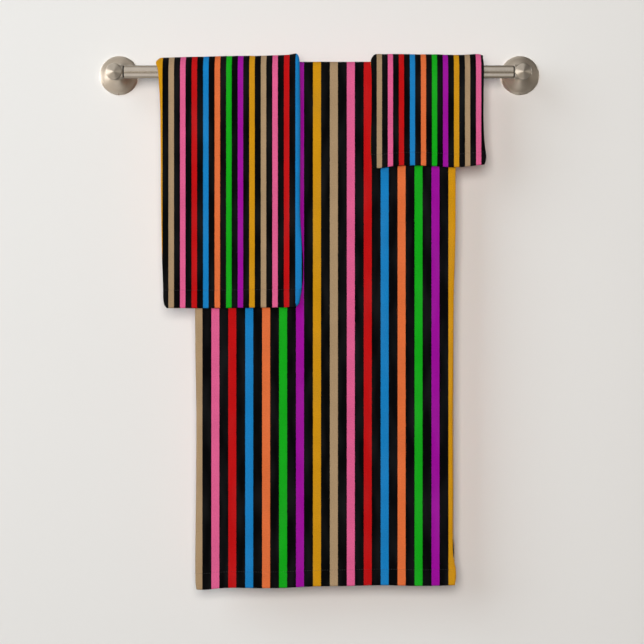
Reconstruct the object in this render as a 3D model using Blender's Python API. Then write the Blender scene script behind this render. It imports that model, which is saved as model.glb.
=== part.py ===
"""Bath towel set hung on a wall rail.

A tubular rail on two turned posts carries a folded bath towel, with a folded hand towel and a
folded washcloth draped over it.  Metres, +Z up.  The origin is on the wall plane, midway between
the rosettes at the height of the rail's axis.  The wall is the plane y = 0, and the set stands in
front of it, towards -Y.
"""

import math
from collections import namedtuple

import bmesh
import bpy
from mathutils import Matrix, Vector

# ---- Driving dimensions, in metres -------------------------------------------------------------

# Fits
TOUCH = 0.0003            # gap between pieces that touch
SLIP = 0.0010             # radial gap between one towel and the one draped over it

# Rail
RAIL_CENTRES = 0.600      # between the two rosette centres
STANDOFF = 0.072          # wall to the rail's axis
BAR_RADIUS = 0.0095
BAR_WALL = 0.0012

# Post: head, neck and foot are turned in one piece
HEAD_WALL = 0.0024        # metal outside the bar in the head
HEAD_DOME = 0.0022        # rise of the head's rounded front
HEAD_EDGE = 0.0012        # edge rounding of the head
COLLAR_WALL = 0.0013      # metal around the bar's socket
COLLAR_REACH = 0.0009     # collar standing out of the head's side
SOCKET_DEPTH = 0.0080     # how deep the bar sits in the collar and head
NECK_RADIUS = 0.0082
SPIGOT_RADIUS = 0.0044

# Rosette: the trumpet-shaped cover at the wall
ROSETTE_RADIUS = 0.0290
ROSETTE_HEIGHT = 0.0300
ROSETTE_WALL = 0.0024
RIM_HEIGHT = 0.0030       # straight part of the rim
RIM_ROUND_WIDTH = 0.0050  # rounded shoulder between the rim and the flare
RIM_ROUND_HEIGHT = 0.0040
RIM_LAND = 0.0045         # width of the flat ring that seats on the wall
WEB_THICKNESS = 0.0050    # floor of the rosette that the post screws down on

# Fixings
POST_SCREW_RADIUS = 0.0024
POST_SCREW_HEAD_RADIUS = 0.0057
POST_SCREW_HEAD_HEIGHT = 0.0032
POST_SCREW_LENGTH = 0.0160
BRACKET_WIDTH = 0.0220
BRACKET_THICKNESS = 0.0020
BRACKET_LIP = 0.0018      # thickness of the two turned-up lips
LIP_WIDTH = 0.0120
LIP_HEIGHT = 0.0043
SCREW_TO_LIP = 0.0036     # wall screw's head to the bracket's lip
WALL_SCREW_RADIUS = 0.0019
WALL_SCREW_HEAD_RADIUS = 0.0037
WALL_SCREW_HEAD_HEIGHT = 0.0024
WALL_SCREW_LENGTH = 0.0300
GRUB_RADIUS = 0.0018
GRUB_LENGTH = 0.0046
GRUB_OFF_WALL = 0.0040    # grub screw's axis to the wall
GRUB_SUNK = 0.0020        # grub screw's end inside the rim
HEX_DEPTH = 0.0014

# Drops swing out from the wall about the rail's axis
SWING_DEG = 20.0
SWING_CLEARANCE_DEG = 3.0

# Towels.  Each is folded in half lengthwise and hung about half over the rail.
BATH_WIDTH = 0.381        # folded; cut 0.762 wide
BATH_THICKNESS = 0.0052   # two leaves
BATH_CENTRE = 0.0090      # towel's middle right of the rail's middle
BATH_FRONT = 0.758        # rail's axis down to the front hem's edge
BATH_BACK = 0.728
BATH_HEM = 0.0235

HAND_WIDTH = 0.203        # folded; cut 0.406 wide
HAND_THICKNESS = 0.0056
HAND_FREE_BAR = 0.0546    # bare bar between the left post and the hand towel
HAND_FRONT = 0.345
HAND_BACK = 0.329
HAND_HEM = 0.0260

WASH_WIDTH = 0.165        # folded; cut 0.330 wide
WASH_THICKNESS = 0.0070
WASH_FREE_BAR = 0.0447    # bare bar between the washcloth and the right post
WASH_FRONT = 0.139
WASH_BACK = 0.128
WASH_HEM = 0.0180

HEM_EXTRA = 0.0008        # a turned hem is this much thicker than the cloth, on its outer side

# Facets
TURNED_STEPS = 36
SCREW_STEPS = 16
ARC_STEPS = 14
FOLD_STEPS = 6

# ---- Worked out from the sizes above -----------------------------------------------------------

HEAD_RADIUS = BAR_RADIUS + HEAD_WALL
HEAD_HALF = BAR_RADIUS + HEAD_WALL
COLLAR_RADIUS = BAR_RADIUS + COLLAR_WALL
CHEEK = HEAD_RADIUS + COLLAR_REACH
BARE_HALF = RAIL_CENTRES / 2 - CHEEK
FLARE_RADIUS = ROSETTE_RADIUS - RIM_ROUND_WIDTH
FLARE_FOOT = RIM_HEIGHT + RIM_ROUND_HEIGHT
BORE_RADIUS = SPIGOT_RADIUS + TOUCH
POCKET_RADIUS = ROSETTE_RADIUS - RIM_LAND
GRUB_OUTER = ROSETTE_RADIUS - GRUB_SUNK
LIP_REACH = GRUB_OUTER - GRUB_LENGTH - TOUCH
WALL_SCREW_RISE = LIP_REACH - BRACKET_LIP - SCREW_TO_LIP - WALL_SCREW_HEAD_RADIUS

BAR_AXIS = Vector((0.0, -STANDOFF, 0.0))

Towel = namedtuple("Towel", "name left right inner thickness front back hem fold_left")


def towels():
    """The three towels, from the one on the bar outwards."""
    bath_inner = BAR_RADIUS + TOUCH
    over_bath = bath_inner + BATH_THICKNESS + SLIP
    hand_left = -BARE_HALF + HAND_FREE_BAR
    wash_right = BARE_HALF - WASH_FREE_BAR
    bath_left = BATH_CENTRE - BATH_WIDTH / 2
    return [
        Towel("bath_towel", bath_left, bath_left + BATH_WIDTH, bath_inner,
              BATH_THICKNESS, BATH_FRONT, BATH_BACK, BATH_HEM, True),
        Towel("hand_towel", hand_left, hand_left + HAND_WIDTH, over_bath,
              HAND_THICKNESS, HAND_FRONT, HAND_BACK, HAND_HEM, False),
        Towel("washcloth", wash_right - WASH_WIDTH, wash_right, over_bath,
              WASH_THICKNESS, WASH_FRONT, WASH_BACK, WASH_HEM, True),
    ]


# ---- Scene, materials and objects --------------------------------------------------------------


def clear_scene():
    for old in list(bpy.data.objects):
        bpy.data.objects.remove(old, do_unlink=True)


def material(name, colour, roughness, metallic):
    """A plain Principled finish."""
    made = bpy.data.materials.new(name)
    made.use_nodes = True
    shader = made.node_tree.nodes["Principled BSDF"]
    shader.inputs["Base Color"].default_value = (*colour, 1.0)
    shader.inputs["Roughness"].default_value = roughness
    shader.inputs["Metallic"].default_value = metallic
    made.diffuse_color = (*colour, 1.0)
    return made


def add_empty(name, location, parent=None):
    empty = bpy.data.objects.new(name, None)
    empty.empty_display_size = 0.03
    empty.location = location
    empty.parent = parent
    bpy.context.scene.collection.objects.link(empty)
    return empty


def add_mesh(name, bm, location, finish=None, parent=None, smooth=True):
    """Turns a bmesh into an object placed at location under its parent."""
    bmesh.ops.recalc_face_normals(bm, faces=bm.faces)
    mesh = bpy.data.meshes.new(name)
    bm.to_mesh(mesh)
    bm.free()
    if smooth:
        mesh.shade_smooth()
        mesh.set_sharp_from_angle(angle=math.radians(35))
    made = bpy.data.objects.new(name, mesh)
    made.location = location
    made.parent = parent
    if finish:
        mesh.materials.append(finish)
    bpy.context.scene.collection.objects.link(made)
    return made


def combine(target, tool, operation):
    """Boolean of target with a hidden tool object."""
    tool.hide_render = True
    tool.display_type = "WIRE"
    modifier = target.modifiers.new(tool.name, "BOOLEAN")
    modifier.operation = operation
    modifier.solver = "EXACT"
    modifier.object = tool


# ---- Shapes ------------------------------------------------------------------------------------


def turned(profile, steps, closed=True):
    """Spins (radius, height) points about +Z.  A closed profile is a loop that clears the axis."""
    bm = bmesh.new()
    points = [bm.verts.new((radius, 0.0, height)) for radius, height in profile]
    pairs = list(zip(points, points[1:]))
    if closed:
        pairs.append((points[-1], points[0]))
    edges = [bm.edges.new(pair) for pair in pairs]
    bmesh.ops.spin(bm, geom=points + edges, cent=(0, 0, 0), axis=(0, 0, 1),
                   angle=math.tau, steps=steps, use_merge=True)
    bmesh.ops.remove_doubles(bm, verts=bm.verts, dist=1e-6)
    bmesh.ops.dissolve_degenerate(bm, edges=bm.edges, dist=1e-6)
    return bm


def rod(radius, low, high, steps):
    """A solid round bar along Z."""
    return turned([(0, low), (radius, low), (radius, high), (0, high)], steps, closed=False)


def box(low, high):
    bm = bmesh.new()
    bmesh.ops.create_cube(bm, size=1.0)
    middle = (Vector(low) + Vector(high)) / 2
    size = Vector(high) - Vector(low)
    bmesh.ops.transform(bm, matrix=Matrix.Translation(middle) @ Matrix.Diagonal((*size, 1)),
                        verts=bm.verts)
    return bm


def from_rings(rings):
    """A solid through rings of equally many points, capped at both ends."""
    bm = bmesh.new()
    loops = [[bm.verts.new(point) for point in ring] for ring in rings]
    for one, two in zip(loops, loops[1:]):
        for i in range(len(one)):
            j = (i + 1) % len(one)
            bm.faces.new((one[i], one[j], two[j], two[i]))
    bm.faces.new(loops[0])
    bm.faces.new(loops[-1])
    return bm


def tipped(bm, axis, angle):
    bmesh.ops.transform(bm, matrix=Matrix.Rotation(angle, 4, axis), verts=bm.verts)
    return bm


def towards_room(bm):
    """Turns +Z onto -Y, away from the wall."""
    return tipped(bm, "X", math.pi / 2)


def arc(centre, half_width, half_height, start, end, steps):
    """Points of an elliptical arc as (radius, height)."""
    made = []
    for i in range(steps + 1):
        angle = math.radians(start + (end - start) * i / steps)
        made.append((centre[0] + half_width * math.cos(angle),
                     centre[1] + half_height * math.sin(angle)))
    return made


# ---- Rail --------------------------------------------------------------------------------------


def rail_bar(finish):
    half = RAIL_CENTRES / 2 - CHEEK + SOCKET_DEPTH - TOUCH
    inner = BAR_RADIUS - BAR_WALL
    profile = [(BAR_RADIUS, -half), (BAR_RADIUS, half), (inner, half), (inner, -half)]
    bar = tipped(turned(profile, TURNED_STEPS), "Y", math.pi / 2)
    return add_mesh("rail_bar", bar, BAR_AXIS, finish)


def post(side, sign, finish):
    """Turned post: domed head, waisted neck, foot and spigot, with a collar that takes the bar."""
    foot = ROSETTE_HEIGHT + TOUCH
    back = STANDOFF - HEAD_HALF
    front = STANDOFF + HEAD_HALF
    cove = (HEAD_RADIUS - HEAD_EDGE - NECK_RADIUS, back - foot)
    profile = [(0, foot - WEB_THICKNESS + TOUCH), (SPIGOT_RADIUS, foot - WEB_THICKNESS + TOUCH),
               (SPIGOT_RADIUS, foot), (NECK_RADIUS, foot)]
    profile += arc((NECK_RADIUS + cove[0], back - cove[1] * 0.55), cove[0], cove[1] * 0.55,
                   180, 90, 5)
    profile += arc((HEAD_RADIUS - HEAD_EDGE, back + HEAD_EDGE), HEAD_EDGE, HEAD_EDGE, -60, 0, 2)
    profile += arc((HEAD_RADIUS - HEAD_EDGE, front - HEAD_EDGE), HEAD_EDGE, HEAD_EDGE, 0, 70, 3)
    profile += arc((0, front), HEAD_RADIUS - HEAD_EDGE, HEAD_DOME, 12, 90, 5)
    centre = Vector((sign * RAIL_CENTRES / 2, 0, 0))
    made = add_mesh(f"{side}_post", towards_room(turned(profile, TURNED_STEPS, closed=False)),
                    centre, finish)

    head = centre + BAR_AXIS
    collar = tipped(rod(COLLAR_RADIUS, 0.0, CHEEK, TURNED_STEPS), "Y", -sign * math.pi / 2)
    combine(made, add_mesh(f"{side}_collar_form", collar, head), "UNION")
    socket = tipped(rod(BAR_RADIUS + TOUCH, CHEEK - SOCKET_DEPTH, CHEEK + HEAD_RADIUS, TURNED_STEPS),
                    "Y", -sign * math.pi / 2)
    combine(made, add_mesh(f"{side}_socket_cutter", socket, head), "DIFFERENCE")
    thread = towards_room(rod(POST_SCREW_RADIUS + TOUCH, 0.0,
                              foot - WEB_THICKNESS + POST_SCREW_LENGTH, SCREW_STEPS))
    combine(made, add_mesh(f"{side}_thread_cutter", thread, centre), "DIFFERENCE")
    return made


def rosette(side, sign, finish):
    """Trumpet-shaped cover: a flat ring on the wall, a rounded rim, and a flare up to the neck."""
    neck = NECK_RADIUS
    rise = ROSETTE_HEIGHT - FLARE_FOOT
    profile = [(ROSETTE_RADIUS, 0.0)]
    profile += arc((FLARE_RADIUS, RIM_HEIGHT), RIM_ROUND_WIDTH, RIM_ROUND_HEIGHT, 0, 90, 5)
    profile += arc((FLARE_RADIUS, ROSETTE_HEIGHT), FLARE_RADIUS - neck, rise, 270, 180, 8)[1:]
    profile += [(BORE_RADIUS, ROSETTE_HEIGHT), (BORE_RADIUS, ROSETTE_HEIGHT - WEB_THICKNESS)]
    width = FLARE_RADIUS - neck + ROSETTE_WALL
    height = rise + ROSETTE_WALL
    web_angle = math.degrees(math.asin(WEB_THICKNESS / height))
    land_angle = math.degrees(math.asin(min(1.0, (POCKET_RADIUS - FLARE_RADIUS) / width)))
    profile += arc((FLARE_RADIUS, ROSETTE_HEIGHT), width, height, 180 + web_angle,
                   270 + land_angle, 5)
    profile += [(POCKET_RADIUS, 0.0)]
    centre = Vector((sign * RAIL_CENTRES / 2, 0, 0))
    made = add_mesh(f"{side}_rosette", towards_room(turned(profile, TURNED_STEPS)), centre, finish)

    hole = tipped(rod(GRUB_RADIUS + TOUCH, LIP_REACH, ROSETTE_RADIUS * 1.2, SCREW_STEPS),
                  "X", math.pi)
    combine(made, add_mesh(f"{side}_grub_hole_cutter", hole,
                           centre + Vector((0, -GRUB_OFF_WALL, 0))), "DIFFERENCE")
    return made


def wall_bracket(side, sign, finish):
    """Steel plate screwed to the wall, with a lip at each end that the rosette fits over."""
    centre = Vector((sign * RAIL_CENTRES / 2, 0, 0))
    straight = LIP_REACH - BRACKET_LIP
    plate = box((-BRACKET_WIDTH / 2, -BRACKET_THICKNESS, -straight + LIP_WIDTH / 4),
                (BRACKET_WIDTH / 2, 0, straight - LIP_WIDTH / 4))
    made = add_mesh(f"{side}_wall_bracket", plate, centre, finish, smooth=False)
    bevel = made.modifiers.new("rounded_corners", "BEVEL")
    bevel.width = BRACKET_THICKNESS / 4
    bevel.segments = 1
    for end, up in (("upper", 1), ("lower", -1)):
        near, far = sorted((up * (straight - LIP_WIDTH / 2), up * LIP_REACH))
        arm = box((-LIP_WIDTH / 2, -BRACKET_THICKNESS * 0.98, near),
                  (LIP_WIDTH / 2, -BRACKET_THICKNESS * 0.02, far))
        combine(made, add_mesh(f"{side}_{end}_arm_form", arm, centre, smooth=False), "UNION")
        near, far = sorted((up * straight, up * (LIP_REACH - TOUCH / 10)))
        lip = box((-LIP_WIDTH / 2 * 0.98, -LIP_HEIGHT, near),
                  (LIP_WIDTH / 2 * 0.98, -BRACKET_THICKNESS / 2, far))
        combine(made, add_mesh(f"{side}_{end}_lip_form", lip, centre, smooth=False), "UNION")
        hole = towards_room(rod(WALL_SCREW_RADIUS + TOUCH, -BRACKET_THICKNESS,
                                BRACKET_THICKNESS * 2, SCREW_STEPS))
        combine(made, add_mesh(f"{side}_{end}_hole_cutter", hole,
                               centre + Vector((0, 0, up * WALL_SCREW_RISE))), "DIFFERENCE")
    return made


def screw(name, place, shank_radius, length, head_radius, head_height, finish, to_room):
    """A pan-head screw whose head seats at place, with a hexagon recess in the head."""
    tip = min(shank_radius * 1.5, length / 4)
    rounding = min(head_height * 0.6, head_radius * 0.4)
    profile = [(0, -length), (shank_radius * 0.35, -length), (shank_radius, -length + tip),
               (shank_radius, 0.0), (head_radius, 0.0)]
    profile += arc((head_radius - rounding, head_height - rounding), rounding, rounding, 0, 90, 3)
    profile += [(0, head_height)]
    turn = math.pi / 2 if to_room else -math.pi / 2
    made = add_mesh(name, tipped(turned(profile, SCREW_STEPS, closed=False), "X", turn), place,
                    finish)
    recess = tipped(rod(head_radius * 0.42, head_height - HEX_DEPTH, head_height * 2, 6), "X", turn)
    combine(made, add_mesh(f"{name}_recess_cutter", recess, place, smooth=False), "DIFFERENCE")
    return made


def fixings(side, sign, finish):
    centre = Vector((sign * RAIL_CENTRES / 2, 0, 0))
    seat = ROSETTE_HEIGHT - WEB_THICKNESS - TOUCH
    screw(f"{side}_post_screw", centre + Vector((0, -seat, 0)), POST_SCREW_RADIUS,
          POST_SCREW_LENGTH - TOUCH, POST_SCREW_HEAD_RADIUS, POST_SCREW_HEAD_HEIGHT, finish, False)
    for end, up in (("upper", 1), ("lower", -1)):
        place = centre + Vector((0, -BRACKET_THICKNESS - TOUCH, up * WALL_SCREW_RISE))
        screw(f"{side}_{end}_wall_screw", place, WALL_SCREW_RADIUS, WALL_SCREW_LENGTH,
              WALL_SCREW_HEAD_RADIUS, WALL_SCREW_HEAD_HEIGHT, finish, True)

    grub = tipped(rod(GRUB_RADIUS, GRUB_OUTER - GRUB_LENGTH, GRUB_OUTER, SCREW_STEPS), "X", math.pi)
    place = centre + Vector((0, -GRUB_OFF_WALL, 0))
    made = add_mesh(f"{side}_grub_screw", grub, place, finish)
    recess = tipped(rod(GRUB_RADIUS * 0.5, GRUB_OUTER - HEX_DEPTH, GRUB_OUTER * 1.1, 6),
                    "X", math.pi)
    combine(made, add_mesh(f"{side}_grub_recess_cutter", recess, place, smooth=False),
            "DIFFERENCE")


# ---- Towels ------------------------------------------------------------------------------------


def folded_section(left, right, thickness, fold_left):
    """Outline of a folded cloth seen along its drop, as (x, depth): a round fold and square edges."""
    half = thickness / 2
    edge = right if fold_left else left
    fold = left + half if fold_left else right - half
    way = -1 if fold_left else 1
    outline = [(edge, thickness), (edge, 0.0)]
    for i in range(FOLD_STEPS + 1):
        angle = -math.pi / 2 + math.pi * i / FOLD_STEPS
        outline.append((fold + way * half * math.cos(angle), half + half * math.sin(angle)))
    return outline


def hanging(towel, name, near, far, front, extra, finish, parent):
    """A straight stretch of a drop between two heights below the rail's axis."""
    way = -1 if front else 1
    section = folded_section(towel.left, towel.right, towel.thickness + extra, towel.fold_left)
    rings = [[(x, way * (towel.inner + depth), -drop) for x, depth in section]
             for drop in (near, far)]
    return add_mesh(name, from_rings(rings), (0, 0, 0), finish, parent)


def saddle(towel, finish, parent):
    """The cloth that bends over the rail, from the back drop to where the front drop swings from."""
    section = folded_section(towel.left, towel.right, towel.thickness, towel.fold_left)
    sweep = math.radians(180 - SWING_DEG - SWING_CLEARANCE_DEG)
    rings = []
    for i in range(ARC_STEPS + 1):
        angle = sweep * i / ARC_STEPS
        rings.append([(x, (towel.inner + depth) * math.cos(angle),
                       (towel.inner + depth) * math.sin(angle)) for x, depth in section])
    return add_mesh(f"{towel.name}_saddle", from_rings(rings), (0, 0, 0), finish, parent)


def hang_towel(towel, finish):
    """Saddle and back drop slide on the rail; the front drop swings from the same axis."""
    slider = add_empty(f"{towel.name}_slide_axis", BAR_AXIS)
    swinger = add_empty(f"{towel.name}_swing_axis", (0, 0, 0), slider)
    saddle(towel, finish, slider)
    hanging(towel, f"{towel.name}_back", TOUCH, towel.back - towel.hem - TOUCH, False, 0.0,
            finish, slider)
    hanging(towel, f"{towel.name}_back_hem", towel.back - towel.hem, towel.back, False,
            HEM_EXTRA, finish, slider)
    hanging(towel, f"{towel.name}_front", TOUCH, towel.front - towel.hem - TOUCH, True, 0.0,
            finish, swinger)
    hanging(towel, f"{towel.name}_front_hem", towel.front - towel.hem, towel.front, True,
            HEM_EXTRA, finish, swinger)


# ---- Assembly ----------------------------------------------------------------------------------


def main():
    clear_scene()
    rail_bar(material("bar_nickel", (0.50, 0.46, 0.40), 0.30, 1.0))
    for side, sign in (("left", -1), ("right", 1)):
        post(side, sign, material(f"{side}_post_nickel", (0.50, 0.46, 0.40), 0.28, 1.0))
        rosette(side, sign, material(f"{side}_rosette_nickel", (0.48, 0.44, 0.39), 0.28, 1.0))
        wall_bracket(side, sign, material(f"{side}_bracket_zinc", (0.55, 0.56, 0.57), 0.45, 1.0))
        fixings(side, sign, material(f"{side}_screw_steel", (0.42, 0.42, 0.42), 0.35, 1.0))
    colours = {
        "bath_towel": (0.10, 0.07, 0.09),
        "hand_towel": (0.05, 0.16, 0.30),
        "washcloth": (0.32, 0.07, 0.13),
    }
    for towel in towels():
        hang_towel(towel, material(f"{towel.name}_terry", colours[towel.name], 0.9, 0.0))
    bpy.context.view_layer.update()


main()
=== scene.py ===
import math

import bmesh
import bpy
import numpy as np
from bpy.props import FloatProperty, FloatVectorProperty, PointerProperty
from bpy.types import Operator, Panel, PropertyGroup
from mathutils import Euler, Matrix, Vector, noise


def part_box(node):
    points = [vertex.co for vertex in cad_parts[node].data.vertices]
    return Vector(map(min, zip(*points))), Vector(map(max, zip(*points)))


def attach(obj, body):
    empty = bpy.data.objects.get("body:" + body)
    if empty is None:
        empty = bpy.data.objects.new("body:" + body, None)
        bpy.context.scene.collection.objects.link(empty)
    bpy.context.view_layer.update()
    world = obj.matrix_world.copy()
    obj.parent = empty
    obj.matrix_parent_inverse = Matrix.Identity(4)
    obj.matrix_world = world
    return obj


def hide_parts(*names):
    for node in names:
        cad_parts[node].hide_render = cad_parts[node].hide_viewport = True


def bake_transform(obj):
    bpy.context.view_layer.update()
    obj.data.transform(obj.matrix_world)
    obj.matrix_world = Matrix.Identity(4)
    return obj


bl_info = {
    "name": "Bath Towel Set",
    "version": (1, 0, 0),
    "blender": (4, 5, 0),
    "location": "3D View > Sidebar > Towels",
    "description": "Three striped towels folded over a turned metal rail on a wall",
    "category": "Add Mesh",
}

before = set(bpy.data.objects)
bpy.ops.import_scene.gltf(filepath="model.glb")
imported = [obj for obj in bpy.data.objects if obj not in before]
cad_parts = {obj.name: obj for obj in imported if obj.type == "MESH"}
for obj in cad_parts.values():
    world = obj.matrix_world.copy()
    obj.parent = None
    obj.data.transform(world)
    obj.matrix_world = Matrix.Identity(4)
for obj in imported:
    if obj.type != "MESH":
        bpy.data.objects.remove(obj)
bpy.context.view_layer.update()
MM = 0.001

# ---- Sizes read from the frame ----

BAR_LOW, BAR_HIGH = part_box("rail_bar")
BAR_AXIS = (BAR_LOW + BAR_HIGH) / 2
BAR_RADIUS = (BAR_HIGH.z - BAR_LOW.z) / 2
BAR_HALF = (BAR_HIGH.x - BAR_LOW.x) / 2
ROSETTE_LOW, ROSETTE_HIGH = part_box("right_rosette")
ROSETTE_RADIUS = (ROSETTE_HIGH.x - ROSETTE_LOW.x) / 2
ROSETTE_HEIGHT = -ROSETTE_LOW.y
RAIL_HALF = (ROSETTE_HIGH.x + ROSETTE_LOW.x) / 2
POST_LOW, POST_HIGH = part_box("right_post")
HEAD_RADIUS = POST_HIGH.x - RAIL_HALF
COLLAR_END = RAIL_HALF - POST_LOW.x

TOUCH = 0.3 * MM            # gap between pieces that touch
HEAD_DOME = 2.2 * MM        # rise of the head's rounded front
HEAD_EDGE = 1.2 * MM
COLLAR_WALL = 1.3 * MM
SOCKET_DEPTH = 8.0 * MM
NECK_RADIUS = 8.2 * MM
SPIGOT_RADIUS = 4.4 * MM
RIM_HEIGHT = 3.0 * MM       # straight part of the rosette's rim
RIM_ROUND = (5.0 * MM, 4.0 * MM)
RIM_LAND = 4.5 * MM         # flat ring that seats on the wall
ROSETTE_WALL = 2.4 * MM
WEB_THICKNESS = 5.0 * MM    # floor of the rosette that the post screws down on
THREAD_RADIUS = 2.7 * MM
THREAD_DEPTH = 16.0 * MM
GRUB_HOLE_RADIUS = 2.1 * MM
GRUB_OFF_WALL = 4.0 * MM


def towel_box(name):
    """Edges, inner radius, thickness and drops of a towel in the frame."""
    saddle, front, front_hem, back_hem = (
        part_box(f"{name}_{part}") for part in ("saddle", "front", "front_hem", "back_hem"))
    return {
        "left": saddle[0].x, "right": saddle[1].x,
        "inner": BAR_AXIS.y - front[1].y, "thickness": front[1].y - front[0].y,
        "front": -front_hem[0].z, "back": -back_hem[0].z,
    }


# ---- Settings ----


def length(label, description, default):
    return FloatProperty(name=label, description=description, default=default, unit="LENGTH")


def share(label, description, default, low=0.0, high=1.0):
    return FloatProperty(name=label, description=description, default=default,
                         min=low, max=high, subtype="FACTOR")


def power(label, description, default):
    return FloatProperty(name=label, description=description, default=default,
                         min=0.0, unit="POWER")


def colour(label, description, default):
    return FloatVectorProperty(name=label, description=description, default=default, size=3,
                               min=0.0, max=1.0, subtype="COLOR_GAMMA")


def towel_settings(class_name, words, cut, leaf, roll, swell, wave, pitch, coloured, tan_at):
    """A PropertyGroup class for one towel with its own defaults."""
    props = {
        "cut_width": length("Cut width", f"Width that the {words} was cut to", cut[0]),
        "cut_length": length("Cut length", f"Length that the {words} was cut to", cut[1]),
        "leaf": length("Leaf", "Thickness of one leaf of the folded cloth", leaf),
        "fold_roll": length("Fold roll", "Width of the rounded fold", roll),
        "fold_swell": length("Fold swell", "How far the fold stands proud", swell),
        "wave": length("Wave", "Height of the soft waves across a drop", wave),
        "pitch": length("Stripe pitch", "From one coloured stripe to the next", pitch),
        "coloured": share("Colour share", "Coloured part of a stripe's pitch", coloured,
                          0.05, 0.95),
        "tan_at": length("Tan stripe", "Middle of a tan stripe from the rail's middle", tan_at),
    }
    return type(class_name, (PropertyGroup,),
                {"__annotations__": props, "__doc__": f"Sizes of the {words}."})


BathTowelSettings = towel_settings(
    "BathTowelSettings", "bath towel", cut=(0.762, 1.524), leaf=2.3 * MM, roll=3.4 * MM,
    swell=0.3 * MM, wave=1.6 * MM, pitch=24.755 * MM, coloured=0.477, tan_at=21.9 * MM)
HandTowelSettings = towel_settings(
    "HandTowelSettings", "hand towel", cut=(0.406, 0.737), leaf=2.3 * MM, roll=6.0 * MM,
    swell=1.6 * MM, wave=0.7 * MM, pitch=16.84 * MM, coloured=0.466, tan_at=-80.6 * MM)
WashclothSettings = towel_settings(
    "WashclothSettings", "washcloth", cut=(0.330, 0.330), leaf=2.5 * MM, roll=4.5 * MM,
    swell=0.6 * MM, wave=0.5 * MM, pitch=16.09 * MM, coloured=0.472, tan_at=88.5 * MM)


class DyeSettings(PropertyGroup):
    """Colours of the printed stripes and of the plain side of the cloth."""
    tan: colour("Tan", "First stripe", (0.675, 0.569, 0.439))
    pink: colour("Pink", "Second stripe", (0.886, 0.384, 0.580))
    red: colour("Red", "Third stripe", (0.753, 0.078, 0.086))
    blue: colour("Blue", "Fourth stripe", (0.102, 0.502, 0.769))
    orange: colour("Orange", "Fifth stripe", (0.894, 0.447, 0.243))
    green: colour("Green", "Sixth stripe", (0.086, 0.667, 0.110))
    purple: colour("Purple", "Seventh stripe", (0.620, 0.071, 0.620))
    gold: colour("Gold", "Last stripe", (0.816, 0.580, 0.086))
    ground: colour("Ground", "Black between the stripes", (0.034, 0.034, 0.038))
    reverse: colour("Reverse", "Unprinted loops inside the fold", (0.93, 0.92, 0.90))


class MetalSettings(PropertyGroup):
    """Colours and finish of the rail and its fixings."""
    nickel: colour("Nickel", "Brushed plating of the rail", (0.83, 0.79, 0.74))
    bar_roughness: share("Bar roughness", "Blur of its reflections", 0.22)
    post_roughness: share("Post roughness", "Blur of its reflections", 0.31)
    rosette_roughness: share("Rosette roughness", "Blur of its reflections", 0.50)
    brushing: share("Brushing", "Stretch of the nickel's highlights", 0.93)
    zinc: colour("Zinc", "Plated steel of the wall brackets", (0.72, 0.73, 0.75))
    screw_steel: colour("Screw steel", "Hardened screws", (0.50, 0.49, 0.48))
    # also the dark finish painted into the bar's groove as its shadow
    blackened: colour("Blackened steel", "Grub screws", (0.16, 0.155, 0.15))


class StageSettings(PropertyGroup):
    """The wall, the floor, the lights and the camera."""
    wall: colour("Wall", "Matt wall paint", (0.897, 0.893, 0.886))
    floor: colour("Floor", "Pale floor", (0.90, 0.895, 0.885))
    key_power: power("Key light", "Soft light from the left", 68.0)
    fill_power: power("Fill light", "Soft light from the front", 153.0)
    back_power: power("Back lights", "Soft light on the back of the set", 55.0)
    ambient: share("Ambient", "Light from all round", 0.07)
    ceiling: share("Ceiling", "Pale room mirrored in the metal", 0.98, high=4.0)
    backdrop: share("Backdrop", "Paleness of what lies past the wall", 0.72, high=4.0)


class TowelSetSettings(PropertyGroup):
    """Everything that can be changed about the towel set."""
    bath: PointerProperty(type=BathTowelSettings, name="Bath towel")
    hand: PointerProperty(type=HandTowelSettings, name="Hand towel")
    wash: PointerProperty(type=WashclothSettings, name="Washcloth")
    dye: PointerProperty(type=DyeSettings, name="Dyes")
    metal: PointerProperty(type=MetalSettings, name="Metal")
    stage: PointerProperty(type=StageSettings, name="Stage")


DYES = ("tan", "pink", "red", "blue", "orange", "green", "purple", "gold")
BLACK = (0.0, 0.0, 0.0)
# grey of the painted sheen streaked into the print
SHEEN_GREY = (0.8, 0.82, 0.85)


def linear(display):
    """A display colour as the light that a shader works in."""
    return tuple(c / 12.92 if c <= 0.04045 else ((c + 0.055) / 1.055) ** 2.4 for c in display)


def dimmed(tone, share_left):
    """A darker version of a colour."""
    return tuple(share_left * c for c in tone)


# ---- Finishes ----


def worked(operation, reflected=False):
    """An arithmetic operator that adds one Math node."""
    def add_node(self, other):
        one, two = (other, self) if reflected else (self, other)
        return self.finish.node("ShaderNodeMath", {"operation": operation}, {0: one, 1: two})
    return add_node


class Signal:
    """One output of a shader node.  Arithmetic on it adds Math nodes."""

    def __init__(self, finish, socket):
        self.finish = finish
        self.socket = socket

    __add__ = __radd__ = worked("ADD")
    __sub__, __rsub__ = worked("SUBTRACT"), worked("SUBTRACT", reflected=True)
    __mul__ = __rmul__ = worked("MULTIPLY")
    __truediv__, __mod__, __pow__ = worked("DIVIDE"), worked("FLOORED_MODULO"), worked("POWER")


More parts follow.
